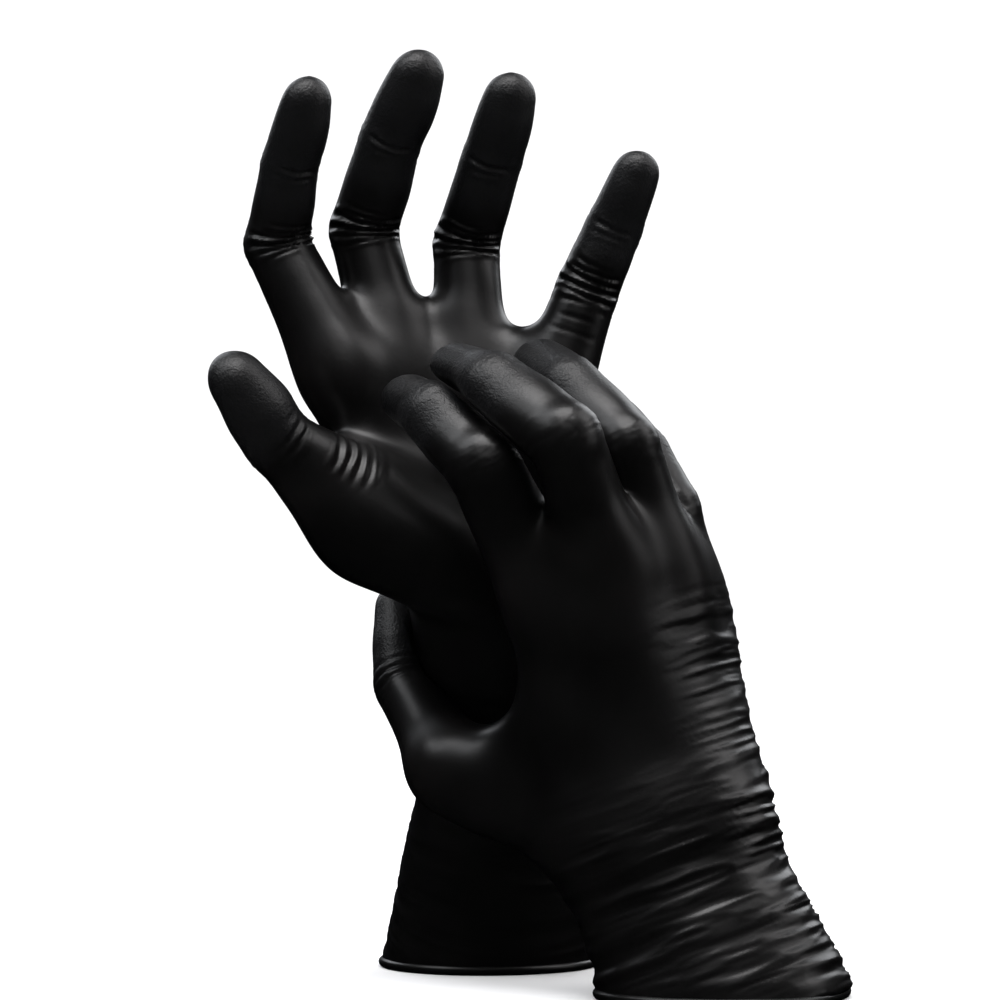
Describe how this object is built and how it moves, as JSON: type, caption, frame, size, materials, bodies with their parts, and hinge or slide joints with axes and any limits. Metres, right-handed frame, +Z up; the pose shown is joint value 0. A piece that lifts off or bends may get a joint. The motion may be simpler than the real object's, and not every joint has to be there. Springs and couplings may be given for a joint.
{
  "type": "disposable glove pair",
  "caption": "Pair of black nitrile disposable gloves in a worn, clasped pose, hollow and open at the cuffs, every finger jointed",
  "frame": {"origin": "Middle of the footprint of the whole pair, on the plane both rolled beads stand on", "axes": "X from the thumb side to the little-finger side of the upright left glove; Y away from the viewer, behind the gloves; Z up, toward the fingertips"},
  "size_m": [0.184, 0.1504, 0.268],
  "materials": {
    "nitrile": "satin",
    "nitrile_grain": "matte"
  },
  "bodies": {
    "left_hand": {"left_hand_body": "nitrile"},
    "left_index_proximal": {"left_index_proximal": "nitrile"},
    "left_index_middle": {"left_index_middle": "nitrile"},
    "left_index_tip": {"left_index_tip": "nitrile_grain"},
    "left_middle_proximal": {"left_middle_proximal": "nitrile"},
    "left_middle_middle": {"left_middle_middle": "nitrile"},
    "left_middle_tip": {"left_middle_tip": "nitrile_grain"},
    "left_ring_proximal": {"left_ring_proximal": "nitrile"},
    "left_ring_middle": {"left_ring_middle": "nitrile"},
    "left_ring_tip": {"left_ring_tip": "nitrile_grain"},
    "left_little_proximal": {"left_little_proximal": "nitrile"},
    "left_little_middle": {"left_little_middle": "nitrile"},
    "left_little_tip": {"left_little_tip": "nitrile_grain"},
    "left_thumb_proximal": {"left_thumb_proximal": "nitrile"},
    "left_thumb_tip": {"left_thumb_tip": "nitrile_grain"},
    "left_cuff": {"left_cuff": "nitrile", "left_bead": "nitrile"},
    "right_hand": {"right_hand_body": "nitrile"},
    "right_index_proximal": {"right_index_proximal": "nitrile"},
    "right_index_middle": {"right_index_middle": "nitrile"},
    "right_index_tip": {"right_index_tip": "nitrile_grain"},
    "right_middle_proximal": {"right_middle_proximal": "nitrile"},
    "right_middle_middle": {"right_middle_middle": "nitrile"},
    "right_middle_tip": {"right_middle_tip": "nitrile_grain"},
    "right_ring_proximal": {"right_ring_proximal": "nitrile"},
    "right_ring_middle": {"right_ring_middle": "nitrile"},
    "right_ring_tip": {"right_ring_tip": "nitrile_grain"},
    "right_little_proximal": {"right_little_proximal": "nitrile"},
    "right_little_middle": {"right_little_middle": "nitrile"},
    "right_little_tip": {"right_little_tip": "nitrile_grain"},
    "right_thumb_proximal": {"right_thumb_proximal": "nitrile"},
    "right_thumb_tip": {"right_thumb_tip": "nitrile_grain"},
    "right_cuff": {"right_cuff": "nitrile", "right_bead": "nitrile"}
  },
  "joints": [
    {"name": "left_index_knuckle", "type": "hinge", "parent": "left_hand", "child": "left_index_proximal", "pos_m": [-0.05405, -0.00702, 0.1754], "axis": [0.708, 0.68, 0.1905], "range_deg": [-12, 16]},
    {"name": "left_index_middle_knuckle", "type": "hinge", "parent": "left_index_proximal", "child": "left_index_middle", "pos_m": [-0.07242, 0.00148, 0.21334], "axis": [0.708, 0.68, 0.1905], "range_deg": [-25, 24]},
    {"name": "left_index_end_knuckle", "type": "hinge", "parent": "left_index_middle", "child": "left_index_tip", "pos_m": [-0.06839, -0.00898, 0.23569], "axis": [0.708, 0.68, 0.1905], "range_deg": [-15, 14.4]},
    {"name": "left_middle_knuckle", "type": "hinge", "parent": "left_hand", "child": "left_middle_proximal", "pos_m": [-0.03753, 0.00098, 0.17273], "axis": [0.7573, 0.6523, 0.0312], "range_deg": [-12, 16]},
    {"name": "left_middle_middle_knuckle", "type": "hinge", "parent": "left_middle_proximal", "child": "left_middle_middle", "pos_m": [-0.04716, 0.00999, 0.21784], "axis": [0.7573, 0.6523, 0.0312], "range_deg": [-25, 22]},
    {"name": "left_middle_end_knuckle", "type": "hinge", "parent": "left_middle_middle", "child": "left_middle_tip", "pos_m": [-0.03948, -0.00014, 0.24335], "axis": [0.7573, 0.6523, 0.0312], "range_deg": [-15, 13.2]},
    {"name": "left_ring_knuckle", "type": "hinge", "parent": "left_hand", "child": "left_ring_proximal", "pos_m": [-0.01669, 0.00298, 0.17046], "axis": [0.9265, 0.3691, -0.0726], "range_deg": [-12, 20]},
    {"name": "left_ring_middle_knuckle", "type": "hinge", "parent": "left_ring_proximal", "child": "left_ring_middle", "pos_m": [-0.01725, 0.01291, 0.21383], "axis": [0.9265, 0.3691, -0.0726], "range_deg": [-25, 30]},
    {"name": "left_ring_end_knuckle", "type": "hinge", "parent": "left_ring_middle", "child": "left_ring_tip", "pos_m": [-0.011, 0.00191, 0.23768], "axis": [0.9265, 0.3691, -0.0726], "range_deg": [-15, 18]},
    {"name": "left_little_knuckle", "type": "hinge", "parent": "left_hand", "child": "left_little_proximal", "pos_m": [0.00588, -0.00202, 0.16687], "axis": [0.9359, 0.1158, -0.3328], "range_deg": [-12, 11]},
    {"name": "left_little_middle_knuckle", "type": "hinge", "parent": "left_little_proximal", "child": "left_little_middle", "pos_m": [0.01735, 0.00012, 0.19987], "axis": [0.9359, 0.1158, -0.3328], "range_deg": [-12, 30]},
    {"name": "left_little_end_knuckle", "type": "hinge", "parent": "left_little_middle", "child": "left_little_tip", "pos_m": [0.02419, -0.00405, 0.21765], "axis": [0.9359, 0.1158, -0.3328], "range_deg": [-7.2, 18]},
    {"name": "left_thumb_knuckle", "type": "hinge", "parent": "left_hand", "child": "left_thumb_proximal", "pos_m": [-0.04896, -0.02202, 0.13913], "axis": [0.1306, 0.7483, 0.6503], "range_deg": [-12, 12]},
    {"name": "left_thumb_end_knuckle", "type": "hinge", "parent": "left_thumb_proximal", "child": "left_thumb_tip", "pos_m": [-0.07179, -0.03202, 0.15522], "axis": [0.1306, 0.7483, 0.6503], "range_deg": [-10, 30]},
    {"name": "left_wrist", "type": "hinge", "parent": "left_hand", "child": "left_cuff", "pos_m": [0.00196, 0.01398, 0.08882], "axis": [-0.9227, -0.3853, 0.0104], "range_deg": [-12, 12]},
    {"name": "right_index_knuckle", "type": "hinge", "parent": "right_hand", "child": "right_index_proximal", "pos_m": [0.00514, -0.04402, 0.11229], "axis": [-0.8217, -0.2419, -0.516], "range_deg": [-18, 0]},
    {"name": "right_index_middle_knuckle", "type": "hinge", "parent": "right_index_proximal", "child": "right_index_middle", "pos_m": [-0.01313, -0.05879, 0.14831], "axis": [-0.8217, -0.2419, -0.516], "range_deg": [-30, 0]},
    {"name": "right_index_end_knuckle", "type": "hinge", "parent": "right_index_middle", "child": "right_index_tip", "pos_m": [-0.02705, -0.04544, 0.16421], "axis": [-0.8217, -0.2419, -0.516], "range_deg": [-18, 0]},
    {"name": "right_middle_knuckle", "type": "hinge", "parent": "right_hand", "child": "right_middle_proximal", "pos_m": [0.0221, -0.04802, 0.11851], "axis": [-0.7739, -0.3884, -0.5002], "range_deg": [-25, 0]},
    {"name": "right_middle_middle_knuckle", "type": "hinge", "parent": "right_middle_proximal", "child": "right_middle_middle", "pos_m": [0.00664, -0.06816, 0.15806], "axis": [-0.7739, -0.3884, -0.5002], "range_deg": [-30, 0]},
    {"name": "right_middle_end_knuckle", "type": "hinge", "parent": "right_middle_middle", "child": "right_middle_tip", "pos_m": [-0.01129, -0.05211, 0.17333], "axis": [-0.7739, -0.3884, -0.5002], "range_deg": [-18, 0]},
    {"name": "right_ring_knuckle", "type": "hinge", "parent": "right_hand", "child": "right_ring_proximal", "pos_m": [0.03794, -0.03402, 0.11546], "axis": [-0.8684, -0.2856, -0.4054], "range_deg": [-25, 0]},
    {"name": "right_ring_middle_knuckle", "type": "hinge", "parent": "right_ring_proximal", "child": "right_ring_middle", "pos_m": [0.02395, -0.04804, 0.15531], "axis": [-0.8684, -0.2856, -0.4054], "range_deg": [-28, 0]},
    {"name": "right_ring_end_knuckle", "type": "hinge", "parent": "right_ring_middle", "child": "right_ring_tip", "pos_m": [0.0107, -0.0314, 0.17195], "axis": [-0.8684, -0.2856, -0.4054], "range_deg": [-16.8, 0]},
    {"name": "right_little_knuckle", "type": "hinge", "parent": "right_hand", "child": "right_little_proximal", "pos_m": [0.04702, -0.01302, 0.10532], "axis": [-0.9018, -0.2966, -0.3142], "range_deg": [-6, 0]},
    {"name": "right_little_middle_knuckle", "type": "hinge", "parent": "right_little_proximal", "child": "right_little_middle", "pos_m": [0.04067, -0.02702, 0.13676], "axis": [-0.9018, -0.2966, -0.3142], "range_deg": [-12, 0]},
    {"name": "right_little_end_knuckle", "type": "hinge", "parent": "right_little_middle", "child": "right_little_tip", "pos_m": [0.0326, -0.01952, 0.15285], "axis": [-0.9018, -0.2966, -0.3142], "range_deg": [-7.2, 0]},
    {"name": "right_thumb_knuckle", "type": "hinge", "parent": "right_hand", "child": "right_thumb_proximal", "pos_m": [-0.02253, -0.02002, 0.06276], "axis": [0.5848, 0.6871, -0.4312], "range_deg": [-15, 0]},
    {"name": "right_thumb_end_knuckle", "type": "hinge", "parent": "right_thumb_proximal", "child": "right_thumb_tip", "pos_m": [-0.03501, 0.00498, 0.08567], "axis": [0.5848, 0.6871, -0.4312], "range_deg": [-10, 0]},
    {"name": "right_wrist", "type": "hinge", "parent": "right_hand", "child": "right_cuff", "pos_m": [0.04053, -0.04002, 0.03591], "axis": [-0.9248, -0.2031, -0.3218], "range_deg": [-12, 12]},
    {"name": "right_glove_lift_off", "type": "slide", "parent": "left_hand", "child": "right_hand", "axis": [-0.5827, -0.8037, 0.1206], "range_m": [0, 0.06]}
  ],
  "couplings": [
    {"joint": "left_index_end_knuckle", "follows": "left_index_middle_knuckle", "ratio": 0.6},
    {"joint": "left_middle_end_knuckle", "follows": "left_middle_middle_knuckle", "ratio": 0.6},
    {"joint": "left_ring_end_knuckle", "follows": "left_ring_middle_knuckle", "ratio": 0.6},
    {"joint": "left_little_end_knuckle", "follows": "left_little_middle_knuckle", "ratio": 0.6},
    {"joint": "right_index_end_knuckle", "follows": "right_index_middle_knuckle", "ratio": 0.6},
    {"joint": "right_middle_end_knuckle", "follows": "right_middle_middle_knuckle", "ratio": 0.6},
    {"joint": "right_ring_end_knuckle", "follows": "right_ring_middle_knuckle", "ratio": 0.6},
    {"joint": "right_little_end_knuckle", "follows": "right_little_middle_knuckle", "ratio": 0.6}
  ]
}
